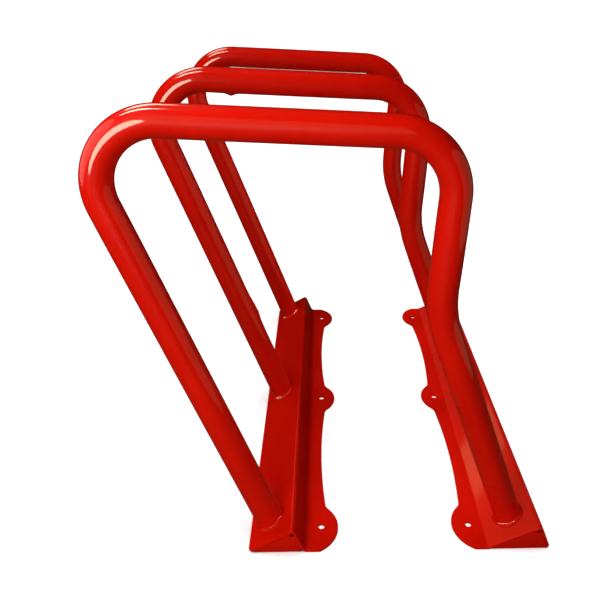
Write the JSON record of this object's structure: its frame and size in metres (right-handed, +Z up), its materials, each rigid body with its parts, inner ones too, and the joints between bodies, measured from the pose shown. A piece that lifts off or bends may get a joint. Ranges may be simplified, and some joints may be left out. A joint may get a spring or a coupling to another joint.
{
  "type": "hoop parking stand",
  "caption": "Floor-bolted steel parking stand: bent tube hoops that lean to one side, welded across folded plate rails with anchor lugs, to hold and lock parked machines.",
  "frame": {"origin": "on the floor plane, at the centre of the rectangle of the outer anchor holes, which is also the middle of the rails' length", "axes": "+X across the stand, from the rail that the hoops lean out over towards the other rail; +Y along the rails; +Z up from the floor"},
  "size_m": [0.7268, 0.896, 0.7535],
  "materials": {
    "red_paint": "glossy red enamel or powder coat over welded steel, slight orange peel",
    "weld_paint": "the same red coat over a rippled weld bead"
  },
  "bodies": {
    "root": {"rail_high_side": "red_paint", "rail_low_side": "red_paint", "hoop_front": "red_paint", "hoop_middle": "red_paint", "hoop_rear": "red_paint", "end_cap_high_front": "red_paint", "end_cap_high_rear": "red_paint", "end_cap_low_front": "red_paint", "end_cap_low_rear": "red_paint", "foot_weld_high_front": "weld_paint", "foot_weld_high_middle": "weld_paint", "foot_weld_high_rear": "weld_paint", "foot_weld_low_front": "weld_paint", "foot_weld_low_middle": "weld_paint", "foot_weld_low_rear": "weld_paint", "cap_weld_high_front": "weld_paint", "cap_weld_high_rear": "weld_paint", "cap_weld_low_front": "weld_paint", "cap_weld_low_rear": "weld_paint"}
  },
  "joints": []
}
